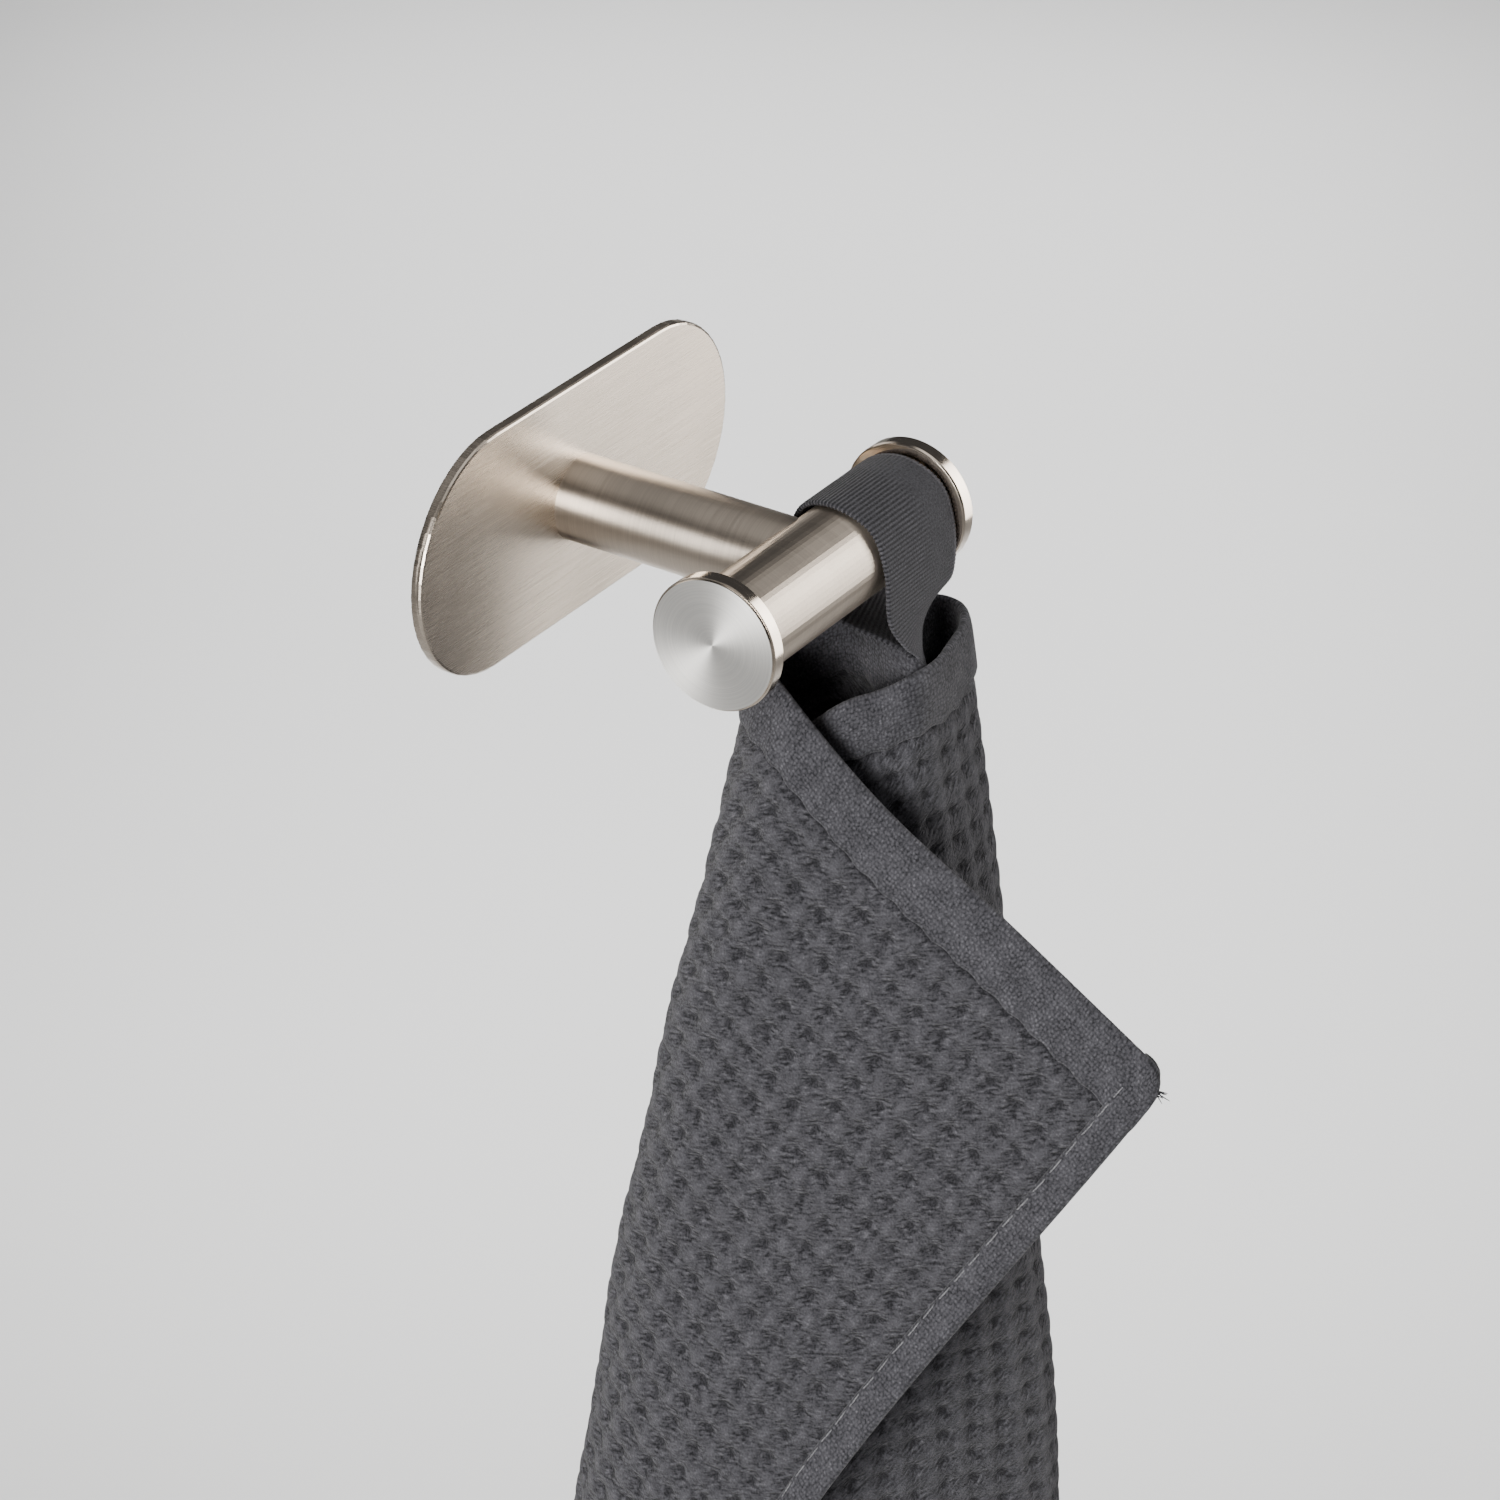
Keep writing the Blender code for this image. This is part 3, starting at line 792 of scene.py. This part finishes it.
# Steels, one row each: colour, roughness, scratches and their depth, how far
# highlights are drawn out, round which axis, and a quarter turn from that
STEELS = [
    # name,            colour, rough, scratches,                         depth, drawn, axis, turn
    ("cap_face_steel", PALE,   0.57,  spun_grain,                        0.005, 0.70,  "X",  0.25),
    ("cap_rim_steel",  WARM,   0.13,  straight_grain((4.0, 0.3, 0.3)),   0.002, 0.0,   "X",  0.0),
    ("post_steel",     WARM,   0.30,  straight_grain((0.06, 5.0, 0.06)), 0.006, 0.8,   "Y",  0.25),
    ("bar_steel",      WARM,   0.33,  straight_grain((5.0, 0.06, 0.06)), 0.006, 0.8,   "X",  0.25),
    ("plate_steel",    DULL,   0.25,  straight_grain((0.05, 0.05, 6.0)), 0.008, 0.85,  "X",  0.0),
]


def dress(node, material):
    """Give a CAD node its finish."""
    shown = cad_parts[node]
    shown.data.materials.clear()
    shown.data.materials.append(material)


def camera():
    """The photograph's viewpoint."""
    right = np.array((math.cos(AZIMUTH), math.sin(AZIMUTH), 0.0))
    back = np.array((math.sin(AZIMUTH) * math.cos(ELEVATION),
                     -math.cos(AZIMUTH) * math.cos(ELEVATION), math.sin(ELEVATION)))
    up = np.cross(back, right)
    side = math.cos(ROLL) * right + math.sin(ROLL) * up
    top = -math.sin(ROLL) * right + math.cos(ROLL) * up
    data = bpy.data.cameras.new("camera")
    data.lens = LENS
    data.sensor_width = SENSOR
    data.clip_end = SIGHT
    made = bpy.data.objects.new("camera", data)
    turn = Matrix(np.column_stack([side, top, back]).tolist()).to_4x4()
    made.matrix_world = Matrix.Translation([c * MM for c in EYE]) @ turn
    bpy.context.scene.collection.objects.link(made)
    bpy.context.scene.camera = made


# Soft lights, one row each: the direction from the hook, the distance, the
# size, the power, the spread in degrees and the colour.
AIM = (0.0, -0.05, -0.06)
LIGHTS = [
    # name,    toward,                far,  size,         watts, spread, colour
    ("left",   (-0.95, -0.10, 0.23),  1.7,  (0.75, 1.00),   8.2,  70, (1.0, 0.985, 0.96)),
    ("right",  (0.81, -0.52, 0.20),   1.0,  (0.38, 1.22),   3.7, 100, (1.0, 0.97, 0.93)),
    ("wash",   (0.83, 0.47, 0.30),    1.25, (1.50, 0.90),   8.8,  50, (1.0, 1.0, 1.0)),
]


def soft_light(name, toward, far, size, watts, spread, colour):
    """Area light that faces the hook, or straight down if it is the wash."""
    data = bpy.data.lights.new(name, "AREA")
    data.shape = "RECTANGLE"
    data.size, data.size_y = size
    data.energy = watts
    data.spread = math.radians(spread)
    data.color = colour
    made = bpy.data.objects.new(name, data)
    toward = Vector(toward).normalized()
    made.location = Vector(AIM) + far * toward
    if name == "wash":
        made.rotation_euler.z = FOLD_TURN + math.pi / 2
    else:
        made.rotation_euler = toward.to_track_quat("Z", "Y").to_euler()
    bpy.context.scene.collection.objects.link(made)


def floor():
    """Plain pale floor."""
    mesh = bpy.data.meshes.new("floor")
    ends = ((-1, -1), (1, -1), (1, 1), (-1, 1))
    corners = [(x * FLOOR_REACH, y * FLOOR_REACH, 0) for x, y in ends]
    mesh.from_pydata(corners, [], [(0, 1, 2, 3)])
    made = bpy.data.objects.new("floor", mesh)
    made.location.z = FLOOR_Z * MM
    bpy.context.scene.collection.objects.link(made)
    paint = Shader("floor_paint")
    cloud = paint.noise(paint.object_place(), 0.003)
    base = paint.mix(cloud, opaque((0.62, 0.62, 0.62)), opaque((0.66, 0.66, 0.66)))
    paint.feed(paint.main.inputs["Base Color"], base)
    paint.main.inputs["Roughness"].default_value = 0.8
    made.data.materials.append(paint.material)


# Light of the room: its even part, its patches, and where these fade in, as
# the axis of the direction and the values from which and to which they do
EVEN_LIGHT = (0.06, 0.06, 0.062)
PATCH_LIGHT = (1.15, 1.14, 1.12)
ABOVE = ("Z", 0.70, 0.95)
IN_FRONT = ("Y", 0.40, 0.05)
BEHIND = ("Y", 0.64, 0.90)


def room():
    """Weak even light, and two soft strong patches: overhead in front, and behind."""
    world = bpy.data.worlds.new("room")
    bpy.context.scene.world = world
    world.use_nodes = True
    tree = world.node_tree
    place = tree.nodes.new("ShaderNodeTexCoord")
    parts = tree.nodes.new("ShaderNodeSeparateXYZ")
    tree.links.new(place.outputs["Generated"], parts.inputs[0])

    def fade(axis, low, high):
        made = tree.nodes.new("ShaderNodeMapRange")
        made.interpolation_type = "SMOOTHSTEP"
        made.inputs["From Min"].default_value = low
        made.inputs["From Max"].default_value = high
        tree.links.new(parts.outputs[axis], made.inputs["Value"])
        return made.outputs[0]

    def both(operation, a, b):
        made = tree.nodes.new("ShaderNodeMath")
        made.operation = operation
        tree.links.new(a, made.inputs[0])
        tree.links.new(b, made.inputs[1])
        return made.outputs[0]

    overhead = both("MULTIPLY", fade(*ABOVE), fade(*IN_FRONT))
    blend = tree.nodes.new("ShaderNodeMix")
    blend.data_type = "RGBA"
    tree.links.new(both("MAXIMUM", overhead, fade(*BEHIND)), blend.inputs[0])
    blend.inputs[6].default_value = opaque(EVEN_LIGHT)
    blend.inputs[7].default_value = opaque(PATCH_LIGHT)
    tree.links.new(blend.outputs[2], tree.nodes["Background"].inputs["Color"])
    tree.nodes["Background"].inputs["Strength"].default_value = 1.0


rng = np.random.default_rng(7)
waffle_cotton = waffle_material()
plain_cotton = hem_material()
thread = thread_material()

towel = towel_field()
towel.data.materials.append(waffle_cotton)
hems = [end_hem("top_hem", True), end_hem("bottom_hem", False),
        side_hem("flap_side_hem", True), side_hem("inner_side_hem", False)]
for hem in hems:
    hem.data.materials.append(plain_cotton)
sewing = [side_stitches("flap_side_stitches", STITCH_IN, rng),
          side_stitches("inner_side_stitches", TOWEL_WIDE - STITCH_IN, rng)]
for row in sewing:
    row.data.materials.append(thread)
tuft = corner_threads(rng)
tuft.data.materials.append(plain_cotton)
loop, loop_long = tape()
loop.data.materials.append(tape_material())

steel = {row[0]: steel_material(*row) for row in STEELS}
cap_steels = steel["cap_face_steel"], steel["cap_rim_steel"]
caps = {"end_cap_left": end_cap("left_cap", -1, *cap_steels),
        "end_cap_right": end_cap("right_cap", 1, *cap_steels)}
post = turned("post_tube", "Y", [(along, POST_RADIUS) for along in POST_RINGS])
post.data.materials.append(steel["post_steel"])
dress("wall_plate", steel["plate_steel"])
dress("crossbar", steel["bar_steel"])

on_towel = [*hems, *sewing, tuft]
for piece in (towel, loop, post, *on_towel, *caps.values()):
    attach(piece, "root")
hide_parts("towel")
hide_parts("hanging_loop")
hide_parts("post")
for node, cap in caps.items():
    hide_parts(node)

camera()
floor()
room()
for row in LIGHTS:
    soft_light(*row)
